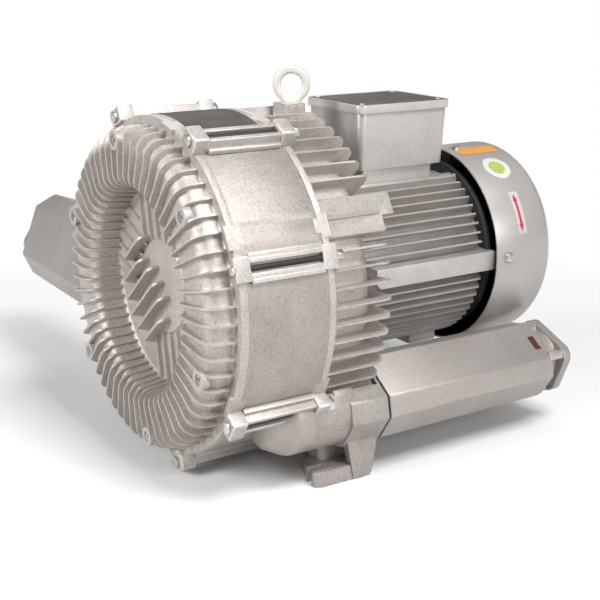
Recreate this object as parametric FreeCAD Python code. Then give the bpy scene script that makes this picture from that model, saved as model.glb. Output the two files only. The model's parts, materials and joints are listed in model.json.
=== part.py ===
import FreeCAD, Part
import math
import os

# Two-stage side channel blower on two foot manifolds, millimetres, +Z up.
# The parts are drawn round the shaft: the shaft lies on the Y axis and the rim of the front
# cover is at y = 0. Each finished part is then set down so that z = 0 is the floor and the
# origin is midway between the two rear foot holes.

# Casing
shaft_height = 310.0
casing_radius = 279.5
rim_thickness = 12.0
drum_length = 143.0
rear_flange = 12.0
fin_pitch = 6.0
fin_thickness = 3.4
channel_inner = 180.0
channel_outer = 246.0
channel_depth = 43.0
channel_round = 12.0
fin_height = 13.0
cover_fin_reach = 52.0
cover_fin_radius = 266.0
rear_fin_end = 280.0
rear_fin_radius = 278.0
rear_wall_end = 254.0
dish_radius = 166.0
dish_floor = 14.0
hub_radius = 80.0
hub_face = 10.0
cover_wall = 9.0

# Tie bolts between the two casing flanges
tie_angles = (28.0, 77.0, 123.0, 180.0, 237.0, 283.0, 332.0)
tie_radius = 292.0
tie_bolt_radius = 7.0
lug_width = 38.0
lug_outer = 306.0
lug_length = 26.0
lug_front = -6.0
lug_lap = 9.0
rail_height = 10.0
rail_width = 7.0
rail_offset = 17.0

# Cover screw posts and the straight ribs of the dish
post_count = 6
post_angle = 40.0
post_circle = 243.0
post_radius = 16.0
post_front = 48.0
cover_screw_radius = 5.0
screw_head_radius = 8.0
screw_head_length = 7.0
counterbore_depth = 9.0
rib_groups = ((40.0, 0.0), (100.0, -6.0), (160.0, -12.0), (280.0, 12.0), (340.0, 0.0))
rib_pitch = 26.0
rib_rows = 5
rib_rise = 7.0
rib_thickness = 3.6
plate_angle = 220.0
plate_pitch = 28.0
plate_shift = -15.5
plate_count = 6
plate_front = 11.0
plate_circle = 103.0
plate_thickness = 4.6

# Rotor
bearing_bore = 20.0
bearing_outer = 45.0
bearing_width = 23.0
front_bearing_y = 48.0
rear_bearing_y = 579.0
shaft_nut_radius = 21.0
shaft_impeller_radius = 25.0
shaft_seal_radius = 28.0
shaft_core_radius = 32.0
impeller_radius = 249.0
impeller_inner = 176.0
impeller_rim = 34.0
impeller_web = 8.0
impeller_hub_radius = 55.0
impeller_hub_length = 20.0
key_width = 14.0
first_rim_y = 15.0
stage_pitch = 102.0
hub_offset = 69.0
vane_count = 36
vane_thickness = 5.0
vane_depth = 14.0
nut_length = 11.0
sleeve_radius = 30.0
running_gap = 0.3
fit_gap = 0.05

# Motor
frame_radius = 139.0
frame_bore = 127.0
frame_end = 573.0
motor_fin_radius = 163.0
motor_fin_thickness = 3.2
motor_flange_radius = 168.0
motor_flange = 16.0
core_start = 325.0
core_length = 160.0
rotor_radius = 74.2
air_gap = 0.8
winding_length = 34.0
shield_wall = 12.0
shield_radius = 159.0
side_pad_reach = 172.0
cowl_radius = 182.0
cowl_start = 578.0
cowl_end = 716.0
cowl_sheet = 2.5
cowl_round = 24.0
cowl_lug_angles = (2.0, 82.0, 178.0, 262.0)
fan_radius = 150.0
fan_blades = 7
fan_start = 628.0
fan_depth = 44.0

# Terminal box on top of the motor
box_front = 348.0
box_length = 190.0
box_half_width = 80.0
box_floor = 169.0
box_top = 267.0
box_draft = 4.0
box_wall = 5.0
lid_height = 14.0
lid_edge = 4.0
lid_rim = 3.0
pad_half_width = 66.0
gland_bore = 8.0
entry_depth = 1.9

# Lifting eye
eye_y = 262.0
eye_seat = 284.0
eye_ring_outer = 31.5
eye_ring_inner = 17.5
eye_turn = 57.2

# Silencers and foot manifolds, their sections as (scale, tilt in degrees)
section_half_width = 68.0
section_half_height = 54.0
section_chamfer = 26.0
silencer_wall = 5.0
silencer_length = 361.0
gasket_thickness = 4.0
port_length = 48.0
port_flange = 16.0
port_flange_width = 58.0
port_flange_height = 49.0
port_flange_round = 22.0
port_bore = 40.0
port_wall = 7.0
port_lug_circle = 54.0
duct_bore = 43.5
liner_wall = 2.0
flange_twist = 12.0
near_root = (1.0, -34.0)
near_tip = (0.97, -34.0)
far_root = (1.36, -70.0)
far_tip = (1.29, -70.0)
near_centre_x = 192.0
near_centre_z = -189.0
near_joint_y = 285.0
far_joint_x = -310.0
far_centre_y = 97.0
far_centre_z = -62.0
dome_joint_y = 145.0
dome_radius = 64.0
dome_depth = 78.0
dome_wall = 8.0
seat_gap = 0.3
foot_front = 162.0
foot_back = 270.0
foot_outer = 236.0
foot_inner = 150.0
foot_thickness = 27.0
foot_web = 12.0
far_foot_back = 330.0
slot_x = 213.0
slot_radius = 8.5
front_slot_y = 189.5
rear_hole_y = 260.0

origin = FreeCAD.Vector(0, 0, 0)
axis_x = FreeCAD.Vector(1, 0, 0)
axis_y = FreeCAD.Vector(0, 1, 0)
axis_z = FreeCAD.Vector(0, 0, 1)
drum_start = rim_thickness
drum_end = drum_start + drum_length
rear_start = drum_end + rear_flange
floor_z = -shaft_height
set_down = FreeCAD.Vector(0, -rear_hole_y, shaft_height)


def outline(corners):
    """Face in the XY plane from (a, b, corner radius) points, each corner rounded by an arc."""
    count = len(corners)
    entries = []
    for i in range(count):
        a, b, radius = corners[i]
        here = FreeCAD.Vector(a, b, 0)
        before = FreeCAD.Vector(corners[i - 1][0], corners[i - 1][1], 0) - here
        after = FreeCAD.Vector(corners[(i + 1) % count][0], corners[(i + 1) % count][1], 0) - here
        before.normalize()
        after.normalize()
        if radius == 0:
            entries.append((here, None, here))
            continue
        half = before.getAngle(after) / 2
        reach = radius / math.tan(half)
        bisector = (before + after).normalize()
        middle = here + bisector * (radius / math.sin(half) - radius)
        entries.append((here + before * reach, middle, here + after * reach))
    edges = []
    for i in range(count):
        start, middle, end = entries[i]
        if middle is not None:
            edges.append(Part.Arc(start, middle, end).toShape())
        following = entries[(i + 1) % count][0]
        if end.distanceToPoint(following) > 1e-6:
            edges.append(Part.makeLine(end, following))
    return Part.Face(Part.Wire(edges))


def spun(corners):
    """Solid of revolution about the shaft from (radius, y, corner radius) points."""
    return outline(corners).revolve(origin, axis_y, 360)


def along_x(corners, start, end):
    """Prism along X of a (y, z, corner radius) outline."""
    face = outline(corners)
    face.rotate(origin, FreeCAD.Vector(1, 1, 1), 120)
    face.translate(axis_x * start)
    return face.extrude(axis_x * (end - start))


def along_y(corners, start, end):
    """Prism along Y of an (x, z, corner radius) outline."""
    face = outline(corners)
    face.rotate(origin, axis_x, 90)
    face.translate(axis_y * start)
    return face.extrude(axis_y * (end - start))


def along_z(corners, start, end):
    """Prism along Z of an (x, y, corner radius) outline."""
    face = outline(corners)
    face.translate(axis_z * start)
    return face.extrude(axis_z * (end - start))


def rod(radius, start, end, x=0.0, z=0.0):
    """Cylinder parallel to the shaft."""
    return Part.makeCylinder(radius, end - start, FreeCAD.Vector(x, start, z), axis_y)


def ring(outer, inner, start, end, x=0.0, z=0.0):
    return rod(outer, start, end, x, z).cut(rod(inner, start, end, x, z))


def hexagon(across_flats, start, end, x=0.0, z=0.0):
    corner = across_flats / math.sqrt(3)
    turns = [math.radians(60 * k + 30) for k in range(6)]
    points = [(x + corner * math.cos(t), z + corner * math.sin(t), 0) for t in turns]
    return along_y(points, start, end)


def turned(shape, angle):
    """Copy turned about the shaft, counter-clockwise from +X towards +Z."""
    copy = shape.copy()
    copy.rotate(origin, axis_y, -angle)
    return copy


def polar(angle, radius):
    return radius * math.cos(math.radians(angle)), radius * math.sin(math.radians(angle))


def joined(first, others):
    return first.multiFuse(others).removeSplitter()


def biggest(shape):
    return max(shape.Solids, key=lambda solid: solid.Volume)


def rectangle(a0, a1, b0, b1, radius=0.0):
    return [(a0, b0, radius), (a1, b0, radius), (a1, b1, radius), (a0, b1, radius)]


def thin_fin(corners, thickness, angle):
    return turned(along_z(corners, -thickness / 2, thickness / 2), angle)


def fin_angles(blocked=()):
    """Angles of a full ring of fins, without those within a blocked (start, end) stretch."""
    count = int(round(360 / fin_pitch))
    angles = [(k + 0.5) * fin_pitch + post_angle for k in range(count)]
    free = []
    for angle in angles:
        if not any((angle - start) % 360 < (end - start) for start, end in blocked):
            free.append(angle)
    return free


def casing_lug(start, root_start, root_end):
    """Square lug at angle 0, rooted in its own flange and resting on the drum beside it."""
    half = lug_width / 2
    end = start + lug_length
    block = along_y([
        (casing_radius, -half, 0), (lug_outer, -half, 3), (lug_outer, half, 3), (casing_radius, half, 0)],
        start, end)
    root = along_y(rectangle(casing_radius - 8, casing_radius + 1, -half, half), root_start, root_end)
    return block.fuse(root).cut(rod(tie_bolt_radius + 0.5, start - 1, end + 1, tie_radius))


def front_cover():
    front = -(cover_fin_reach - fin_height)
    bulge = channel_outer + cover_wall
    inner_floor = dish_floor + cover_wall
    shell = spun([
        (casing_radius, rim_thickness, 0), (casing_radius, 0, 2), (bulge + 2, 0, 4),
        (bulge, front, 24), (dish_radius + 4, front, 18), (dish_radius, dish_floor, 10),
        (hub_radius, dish_floor, 2), (hub_radius - 3, hub_face, 2), (0, hub_face, 0), (0, inner_floor, 0),
        (bearing_outer - 8, inner_floor, 0), (bearing_outer - 8, front_bearing_y, 0),
        (bearing_outer + fit_gap, front_bearing_y, 0),
        (bearing_outer + fit_gap, front_bearing_y + bearing_width, 0),
        (bearing_outer + 11, front_bearing_y + bearing_width, 0), (bearing_outer + 11, inner_floor, 4),
        (dish_radius - 6, inner_floor, 5), (dish_radius, rim_thickness, 0),
        (channel_inner, rim_thickness, 0), (channel_inner, rim_thickness - channel_depth, channel_round),
        (channel_outer, rim_thickness - channel_depth, channel_round), (channel_outer, rim_thickness, 0)])
    fin = [
        (cover_fin_radius, 2, 0), (cover_fin_radius - 2, -cover_fin_reach + 6, 26),
        (dish_radius + 6, -cover_fin_reach, 20), (dish_radius - 5, dish_floor - 3, 6),
        (dish_radius + 4, dish_floor, 0), (dish_radius + 10, front + 6, 6),
        (bulge - 8, front + 6, 8), (bulge - 6, 2, 0)]
    parts = [thin_fin(fin, fin_thickness, angle) for angle in fin_angles()]
    for k in range(post_count):
        x, z = polar(post_angle + 360 / post_count * k, post_circle)
        parts.append(rod(post_radius, -post_front, front + 4, x, z))
    parts += dish_ribs() + dish_plates()
    parts += [turned(casing_lug(lug_front, lug_front, rim_thickness), angle) for angle in tie_angles]
    cover = joined(shell, parts)
    holes = []
    for k in range(post_count):
        x, z = polar(post_angle + 360 / post_count * k, post_circle)
        holes.append(rod(cover_screw_radius + 0.2, -post_front - 1, -post_front + 26, x, z))
        holes.append(rod(screw_head_radius + 1, -post_front - 1, -post_front + counterbore_depth, x, z))
    for angle in tie_angles:
        x, z = polar(angle, tie_radius)
        holes.append(rod(tie_bolt_radius + 0.5, -20, 40, x, z))
    return cover.cut(Part.makeCompound(holes))


def dish_ribs():
    """Groups of low parallel ribs that run from the hub to the wall of the dish."""
    ribs = []
    for angle, shift in rib_groups:
        for row in range(rib_rows):
            offset = (row - (rib_rows - 1) / 2) * rib_pitch + shift
            inner = max(math.sqrt(max(hub_radius ** 2 - offset ** 2, 0)) - 1, abs(offset) * 1.73 + 3)
            outer = math.sqrt(dish_radius ** 2 - offset ** 2)
            rib = along_z([
                (inner, dish_floor + 3, 0), (inner, dish_floor - rib_rise + 2, 0),
                (inner + 6, dish_floor - rib_rise, 0), (outer, dish_floor - rib_rise, 0),
                (outer, dish_floor + 3, 0)], offset - rib_thickness / 2, offset + rib_thickness / 2)
            ribs.append(turned(rib, angle))
    return ribs


def dish_plates():
    """One group of tall parallel plates that stand on the hub and slope down to the dish."""
    plates = []
    for row in range(plate_count):
        offset = (row - (plate_count - 1) / 2) * plate_pitch + plate_shift
        tip = math.sqrt(plate_circle ** 2 - offset ** 2)
        inner = min(-12, tip - 60) if abs(offset) < 40 else tip - 75
        plate = along_z([
            (inner - 3, dish_floor + 2, 0), (inner, -plate_front, 16), (tip, -plate_front, 5),
            (tip + 16, dish_floor + 2, 0)], offset - plate_thickness / 2, offset + plate_thickness / 2)
        plates.append(turned(plate, plate_angle))
    return plates


def cover_screws():
    screws = []
    for k in range(post_count):
        x, z = polar(post_angle + 360 / post_count * k, post_circle)
        seat = counterbore_depth - post_front
        head = rod(screw_head_radius, seat - screw_head_length, seat, x, z)
        shank = rod(cover_screw_radius, seat, seat + 15, x, z)
        socket = hexagon(8.0, seat - screw_head_length - 1, seat - screw_head_length + 4, x, z)
        screws.append(head.fuse(shank).cut(socket))
    return Part.makeCompound(screws)


def drum():
    """Middle casing with a channel for each stage and the wall between the stages."""
    channel_wall = channel_outer + 6
    first_back = first_rim_y + impeller_rim + 3
    second_front = first_rim_y + stage_pitch - 2
    wall = (first_back + second_front) / 2
    half = 9.5
    cone = hub_offset - impeller_rim / 2 + 6
    shell = spun([
        (casing_radius, drum_start, 0), (casing_radius, drum_end, 0), (channel_wall, drum_end, 0),
        (channel_wall, second_front, 0), (channel_outer, second_front, 0),
        (channel_outer, wall + half, channel_round), (channel_inner, wall + half, channel_round),
        (channel_inner, second_front, 0), (channel_inner - 12, second_front, 0),
        (channel_inner - 12, wall + 4, 0), (62, wall + cone, 0), (34, wall + cone, 0),
        (34, wall + cone - 12, 0), (60, wall + cone - 12, 0), (channel_inner - 12, wall - 10, 0),
        (channel_inner - 12, first_back, 0), (channel_inner, first_back, 0),
        (channel_inner, wall - half, channel_round), (channel_outer, wall - half, channel_round),
        (channel_outer, first_back, 0), (channel_wall, first_back, 0), (channel_wall, drum_start, 0)])
    rails = []
    for angle in tie_angles:
        for side in (-1, 1):
            middle = side * rail_offset
            rail = along_y(rectangle(
                casing_radius - 6, casing_radius + rail_height,
                middle - rail_width / 2, middle + rail_width / 2, 1.5),
                lug_front + lug_length, drum_end - lug_lap)
            rails.append(turned(rail, angle))
    return joined(shell, rails)


def rear_housing():
    bulge = channel_outer + cover_wall
    bottom = drum_end + channel_depth + 14
    second_web = first_rim_y + stage_pitch + hub_offset
    shell = spun([
        (casing_radius, drum_end, 0), (casing_radius, rear_start, 2), (bulge + 2, rear_start, 4),
        (bulge, rear_wall_end, 24), (150, rear_wall_end, 0), (150, second_web + 2, 8),
        (66, second_web + 44, 6), (40, second_web + 44, 0), (40, second_web + 32, 0),
        (31, second_web + 32, 0), (31, second_web + 24, 0), (62, second_web + 24, 0),
        (channel_inner - 12, drum_end + 14, 0), (channel_inner - 12, drum_end - 2, 0),
        (channel_inner, drum_end - 2, 0), (channel_inner, bottom, channel_round),
        (channel_outer, bottom, channel_round), (channel_outer, drum_end, 0)])
    fin = [
        (bulge - 8, rear_start - 2, 0), (rear_fin_radius, rear_start - 2, 0),
        (rear_fin_radius, rear_fin_end, 16), (186, rear_fin_end - 6, 10),
        (178, rear_wall_end - 4, 0), (bulge - 8, rear_wall_end - 4, 0)]
    pad_start, pad_end = 23.5, 36.5
    blocked = [(pad_start - 2, pad_end + 2), (84.0, 96.0)]
    parts = [thin_fin(fin, fin_thickness, angle) for angle in fin_angles(blocked)]
    parts.append(flank_pad(bulge - 6, pad_start, pad_end))
    parts.append(along_z(rectangle(-24, 24, eye_y - 24, rear_fin_end - 4, 5), bulge - 8, eye_seat))
    parts += [turned(casing_lug(drum_end - lug_lap, drum_end, drum_end - lug_lap + lug_length), angle)
              for angle in tie_angles]
    housing = joined(shell, parts)
    holes = [Part.makeCylinder(8.2, 30, FreeCAD.Vector(0, eye_y, eye_seat - 26), axis_z)]
    for angle in tie_angles:
        x, z = polar(angle, tie_radius)
        holes.append(rod(tie_bolt_radius + 0.5, drum_end - 20, drum_end + 30, x, z))
    return housing.cut(Part.makeCompound(holes))


def flank_pad(inner, start, end):
    """Wide pad between two fins, with a groove beside its rib and a tongue over the motor."""
    half = math.radians(end - start) / 2 * rear_fin_radius
    block = along_y(rectangle(inner, rear_fin_radius - 3, -half, half, 2), rear_start - 2, rear_fin_end - 4)
    rib = along_y(rectangle(inner, rear_fin_radius + 1, -3, 3, 1), rear_start - 2, rear_fin_end - 8)
    tongue = along_y(rectangle(rear_fin_radius - 18, rear_fin_radius - 3, -6, half, 2),
                     rear_fin_end - 10, rear_fin_end + 20)
    return turned(joined(block, [rib, tongue]), (start + end) / 2)


def impeller(rim_y):
    """Disc with vane pockets on both faces of its rim and a dished web down to the hub."""
    hub_y = rim_y + hub_offset
    middle = rim_y + impeller_rim / 2
    disc = spun([
        (impeller_radius, rim_y, 1), (impeller_radius, rim_y + impeller_rim, 1),
        (impeller_inner, rim_y + impeller_rim, 2), (impeller_inner, middle + impeller_web / 2, 4),
        (impeller_hub_radius + 6, hub_y + 6 + impeller_web, 8),
        (impeller_hub_radius, hub_y + impeller_hub_length, 2),
        (shaft_impeller_radius + fit_gap, hub_y + impeller_hub_length, 0),
        (shaft_impeller_radius + fit_gap, hub_y, 0), (impeller_hub_radius, hub_y, 2),
        (impeller_inner, middle - impeller_web / 2, 4), (impeller_inner, rim_y, 2)])
    pitch = 360 / vane_count
    tip = (impeller_radius - 8) * math.radians(pitch) / 2 - vane_thickness / 2
    root = (impeller_inner + 8) * math.radians(pitch) / 2 - vane_thickness / 2
    pocket_outline = [
        (impeller_inner + 8, -root, 0), (impeller_radius + 5, -tip, 0),
        (impeller_radius + 5, tip, 0), (impeller_inner + 8, root, 0)]
    pockets = []
    for start in (rim_y - 1, rim_y + impeller_rim - vane_depth):
        pocket = along_y(pocket_outline, start, start + vane_depth + 1)
        pockets += [turned(pocket, pitch * k) for k in range(vane_count)]
    keyway = along_y(rectangle(
        -key_width / 2 - fit_gap, key_width / 2 + fit_gap, 0, shaft_impeller_radius + 3.3 + fit_gap),
        hub_y - 1, hub_y + impeller_hub_length + 1)
    return disc.cut(Part.makeCompound(pockets)).cut(keyway)


def hub_stations():
    first = first_rim_y + hub_offset
    second = first + stage_pitch
    return first, second


def spacer_sleeve():
    first, second = hub_stations()
    return ring(sleeve_radius, shaft_impeller_radius + fit_gap, first + impeller_hub_length, second)


def impeller_nut():
    first, _ = hub_stations()
    return hexagon(58, first - nut_length, first).cut(
        rod(shaft_nut_radius + fit_gap, first - nut_length, first))


def impeller_keys(room=0.0):
    """One parallel key under each impeller hub."""
    keys = []
    for start in hub_stations():
        keys.append(along_y(rectangle(
            -key_width / 2 - room, key_width / 2 + room, shaft_impeller_radius - 4 - room,
            shaft_impeller_radius + 3.3 + room), start + 1, start + impeller_hub_length - 1))
    return Part.makeCompound(keys)


def interstage_seal():
    first_back = first_rim_y + impeller_rim + 3
    second_front = first_rim_y + stage_pitch - 2
    end = (first_back + second_front) / 2 + hub_offset - impeller_rim / 2 + 6
    return ring(34 - fit_gap, sleeve_radius + running_gap, end - 12, end)


def shaft_seal():
    _, second = hub_stations()
    return ring(40 - fit_gap, shaft_seal_radius + running_gap, second + 32, second + 44)


def shaft():
    first, second = hub_stations()
    step = second + impeller_hub_length
    core_end = core_start + core_length + winding_length
    blank = spun([
        (0, front_bearing_y, 0), (bearing_bore, front_bearing_y, 0),
        (bearing_bore, front_bearing_y + bearing_width, 0),
        (shaft_nut_radius, front_bearing_y + bearing_width, 0), (shaft_nut_radius, first, 0),
        (shaft_impeller_radius, first, 0), (shaft_impeller_radius, step, 0),
        (shaft_seal_radius, step, 0), (shaft_seal_radius, core_start - 50, 2),
        (shaft_core_radius, core_start - 50, 0), (shaft_core_radius, core_end, 2),
        (shaft_impeller_radius, core_end, 0), (shaft_impeller_radius, rear_bearing_y, 0),
        (bearing_bore, rear_bearing_y, 0), (bearing_bore, rear_bearing_y + bearing_width, 0),
        (18, rear_bearing_y + bearing_width, 0), (18, fan_start + fan_depth - 6, 0),
        (0, fan_start + fan_depth - 6, 0)])
    return blank.cut(impeller_keys(fit_gap))


def bearing_outer_ring(start):
    wall = 8
    groove = 5
    middle = start + bearing_width / 2
    return spun([
        (bearing_outer, start, 1), (bearing_outer, start + bearing_width, 1),
        (bearing_outer - wall, start + bearing_width, 0), (bearing_outer - wall, middle + groove, 0),
        (bearing_outer - wall + 3, middle, 4), (bearing_outer - wall, middle - groove, 0),
        (bearing_outer - wall, start, 0)])


def bearing_inner_ring(start):
    wall = 7
    groove = 5.4
    middle = start + bearing_width / 2
    return spun([
        (bearing_bore + wall, start, 0), (bearing_bore + wall, middle - groove, 0),
        (bearing_bore + wall - 3.4, middle, 4), (bearing_bore + wall, middle + groove, 0),
        (bearing_bore + wall, start + bearing_width, 0),
        (bearing_bore + fit_gap, start + bearing_width, 0), (bearing_bore + fit_gap, start, 0)])


def bearing_cage(start):
    """Ball row as a caged ring that runs between the two races."""
    middle = start + bearing_width / 2
    pitch_radius = 32.0
    balls = []
    for k in range(8):
        x, z = polar(45 * k, pitch_radius)
        balls.append(Part.makeSphere(6.75, FreeCAD.Vector(x, middle, z)))
    cage = ring(pitch_radius + 2, pitch_radius - 2, middle - 7, middle + 7)
    return joined(cage, balls)


def rotor_core():
    return ring(rotor_radius, shaft_core_radius + fit_gap, core_start, core_start + core_length)


def rotor_end_rings():
    rings = []
    for start in (core_start - 14, core_start + core_length):
        rings.append(ring(rotor_radius - 3, shaft_core_radius + 12, start, start + 14))
    return Part.makeCompound(rings)


def stator_core():
    return ring(frame_bore - fit_gap, rotor_radius + air_gap, core_start, core_start + core_length)


def stator_windings():
    coils = []
    for start in (core_start - winding_length, core_start + core_length):
        end = start + winding_length
        coils.append(spun([
            (frame_bore - 10, start, 8), (frame_bore - 10, end, 8),
            (rotor_radius + 8, end, 8), (rotor_radius + 8, start, 8)]))
    return Part.makeCompound(coils)


def motor_frame():
    """Finned motor tube with a front flange, a flat pad each side and the terminal box pad."""
    tube = spun([
        (frame_bore, rear_wall_end, 0), (motor_flange_radius, rear_wall_end, 2),
        (motor_flange_radius, rear_wall_end + motor_flange, 2),
        (frame_radius, rear_wall_end + motor_flange, 4), (frame_radius, frame_end, 0),
        (frame_bore, frame_end, 0)])
    fin = [
        (frame_radius - 3, rear_wall_end + 10, 0), (motor_fin_radius - 1, rear_wall_end + 10, 0),
        (motor_fin_radius, frame_end - 12, 3), (frame_radius + 4, frame_end, 0),
        (frame_radius - 3, frame_end, 0)]
    blocked = [(-9.0, 10.0), (62.0, 118.0), (170.0, 189.0)]
    parts = [thin_fin(fin, motor_fin_thickness, angle) for angle in fin_angles(blocked)]
    for side in (-1, 1):
        pad = along_x([
            (330, -14, 0), (frame_end + 10, -14, 3), (frame_end + 10, 20, 3), (322, 20, 0),
            (322, -4, 0)], frame_bore + 4, side_pad_reach)
        if side < 0:
            pad = pad.mirror(origin, axis_x)
        parts.append(pad)
    saddle = along_z(rectangle(
        -pad_half_width, pad_half_width, box_front + 14, box_front + box_length - 20, 8),
        105, box_floor)
    for side in (-1, 1):
        for offset in (64, 78):
            fin_top = along_x(rectangle(rear_wall_end + 30, frame_end - 12, 110, 146),
                              offset - 1.8, offset + 1.8)
            parts.append(fin_top if side > 0 else fin_top.mirror(origin, axis_x))
    parts.append(saddle)
    parts.append(along_z(rectangle(-8, 48, 490, 554, 5), -motor_fin_radius - 9, -frame_radius + 8))
    frame = joined(tube, parts)
    wire_way = Part.makeCylinder(28, 70, FreeCAD.Vector(0, box_front + box_length / 2, 115), axis_z)
    shield_room = rod(shield_radius + 0.3, frame_end, frame_end + 30)
    drain = Part.makeCylinder(5, 20, FreeCAD.Vector(20, 522, -motor_fin_radius - 10), axis_z)
    rooms = Part.makeCompound([shield_room, wire_way, drain])
    return frame.cut(rod(frame_bore, rear_wall_end + 1, frame_end + 1)).cut(rooms)


def end_shield():
    start = frame_end
    seat_end = rear_bearing_y + bearing_width
    dish = spun([
        (frame_bore, start, 0), (shield_radius, start, 0), (shield_radius, start + shield_wall, 4),
        (bearing_outer + 16, seat_end + 6, 4), (bearing_bore + 3, seat_end + 6, 0),
        (bearing_bore + 3, seat_end, 0), (bearing_outer + fit_gap, seat_end, 0),
        (bearing_outer + fit_gap, rear_bearing_y, 0), (bearing_outer + 9, rear_bearing_y, 0),
        (bearing_outer + 12, seat_end - 10, 6), (frame_bore - 12, start + 4, 0),
        (frame_bore - 6, start - 6, 0), (frame_bore - fit_gap, start - 6, 0),
        (frame_bore - fit_gap, start, 0)])
    lugs = []
    for angle in cowl_lug_angles:
        lug = along_y(rectangle(frame_radius - 12, cowl_radius, -11, 11, 2),
                      start + shield_wall - 1.7, start + 46)
        lugs.append(turned(lug, angle))
    inside_cowl = rod(cowl_radius - cowl_sheet - fit_gap, start - 10, cowl_end)
    shield = joined(dish, lugs).common(inside_cowl)
    hole = radial_rod(4.0, cowl_radius - 26, cowl_radius + 5, start + 32)
    return shield.cut(Part.makeCompound([turned(hole, angle) for angle in cowl_lug_angles]))


def radial_rod(radius, inner, outer, y):
    return Part.makeCylinder(radius, outer - inner, FreeCAD.Vector(inner, y, 0), axis_x)


def cowl_screws():
    y = frame_end + 32
    screws = []
    for angle in cowl_lug_angles:
        head = radial_rod(7.5, cowl_radius + 0.6, cowl_radius + 5, y)
        washer = radial_rod(9.0, cowl_radius - 0.9, cowl_radius + 0.6, y)
        shank = radial_rod(3.8, cowl_radius - 24, cowl_radius, y)
        screws.append(turned(joined(head, [washer, shank]), angle))
    return Part.makeCompound(screws)


def fan_cowl():
    """Sheet steel cowl, open towards the motor, with a slotted grille at its rear."""
    inner = cowl_radius - cowl_sheet
    sheet = spun([
        (cowl_radius, cowl_start, 0), (cowl_radius, cowl_end, cowl_round), (0, cowl_end, 0),
        (0, cowl_end - cowl_sheet, 0), (inner, cowl_end - cowl_sheet, cowl_round - cowl_sheet),
        (inner, cowl_start, 0)])
    cuts = []
    for count, start, end, width in ((36, 96, 148, 8), (18, 40, 86, 8)):
        slot = along_y(rectangle(start, end, -width / 2, width / 2), cowl_end - 10, cowl_end + 5)
        cuts += [turned(slot, 360 / count * k) for k in range(count)]
    for angle in cowl_lug_angles:
        flat = along_y(rectangle(cowl_radius - 1.0, cowl_radius + 4, -9.5, 9.5),
                       frame_end + 22, frame_end + 42)
        cuts.append(turned(flat, angle))
        cuts.append(turned(radial_rod(4.0, cowl_radius - 10, cowl_radius + 5, frame_end + 32), angle))
    return sheet.cut(Part.makeCompound(cuts))


def cooling_fan():
    hub = ring(32, 18 + fit_gap, fan_start - 8, fan_start + fan_depth - 10)
    plate = ring(fan_radius - 40, 30, fan_start, fan_start + 5)
    blade = along_z([
        (28, fan_start, 0), (fan_radius - 6, fan_start, 0), (fan_radius, fan_start + 8, 6),
        (fan_radius, fan_start + fan_depth, 4), (60, fan_start + fan_depth, 8), (28, fan_start + 20, 0)],
        -2.2, 2.2)
    return joined(hub, [plate] + [turned(blade, 360 / fan_blades * k) for k in range(fan_blades)])


def fan_clip():
    start = fan_start + fan_depth - 10
    return ring(24, 18 + fit_gap, start, start + 2.5)


def tapered_block(half_x, start, end, z0, z1, draft, radius):
    lower = outline(rectangle(-half_x + draft, half_x - draft, start + draft, end - draft, radius))
    upper = outline(rectangle(-half_x, half_x, start, end, radius))
    lower.translate(axis_z * z0)
    upper.translate(axis_z * z1)
    return Part.makeLoft([lower.OuterWire, upper.OuterWire], True, True)


def terminal_box():
    end = box_front + box_length
    outer = tapered_block(box_half_width, box_front, end, box_floor, box_top, box_draft, 12)
    wall = box_wall
    inner = tapered_block(
        box_half_width - wall, box_front + wall, end - wall, box_floor + wall, box_top + 1, box_draft, 9)
    posts = [Part.makeCylinder(7, box_top - box_floor - 2, FreeCAD.Vector(x, y, box_floor + 2), axis_z)
             for x, y in lid_corners()]
    body = joined(outer.cut(inner), [post.common(outer) for post in posts])
    cuts = [Part.makeCylinder(28, 20, FreeCAD.Vector(0, box_front + box_length / 2, box_floor - 5), axis_z)]
    for x, y in lid_corners():
        cuts.append(Part.makeCylinder(2.7, 30, FreeCAD.Vector(x, y, box_top - 25), axis_z))
    for y in plug_stations():
        entry = FreeCAD.Vector(-box_half_width - 10, y, box_floor + 45)
        cuts.append(Part.makeCylinder(16, 40, entry, axis_x))
    return body.cut(Part.makeCompound(cuts))


def lid_corners():
    inset = 13
    end = box_front + box_length
    return [(x, y) for x in (inset - box_half_width, box_half_width - inset)
            for y in (box_front + inset, end - inset)]


def plug_stations():
    middle = box_front + box_length / 2
    return middle - 40, middle + 40


def terminal_lid():
    end = box_front + box_length
    plate = along_z(rectangle(
        -box_half_width - lid_edge, box_half_width + lid_edge, box_front - lid_edge, end + lid_edge, 14),
        box_top, box_top + lid_height)
    room = lid_edge - lid_rim
    recess = along_z(rectangle(
        -box_half_width - room, box_half_width + room, box_front - room, end + room, 14 - lid_rim),
        box_top + lid_height - 2, box_top + lid_height + 1)
    holes = [Part.makeCylinder(3.2, 30, FreeCAD.Vector(x, y, box_top - 5), axis_z) for x, y in lid_corners()]
    return plate.cut(recess).cut(Part.makeCompound(holes))


def lid_panel():
    """Dark insert that fills the recess of the lid."""
    end = box_front + box_length
    top = box_top + lid_height
    room = lid_edge - lid_rim - 0.4
    plate = along_z(rectangle(
        -box_half_width - room, box_half_width + room, box_front - room, end + room, 13.6 - lid_rim),
        top - 2, top - 0.4)
    holes = [Part.makeCylinder(5.4, 5, FreeCAD.Vector(x, y, top - 3), axis_z) for x, y in lid_corners()]
    return plate.cut(Part.makeCompound(holes))


def lid_screws():
    top = box_top + lid_height - 2
    screws = []
    for x, y in lid_corners():
        head = Part.makeCylinder(5.0, 3.2, FreeCAD.Vector(x, y, top), axis_z)
        shank = Part.makeCylinder(2.6, 30, FreeCAD.Vector(x, y, top - 30), axis_z)
        screws.append(head.fuse(shank))
    return Part.makeCompound(screws)


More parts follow.
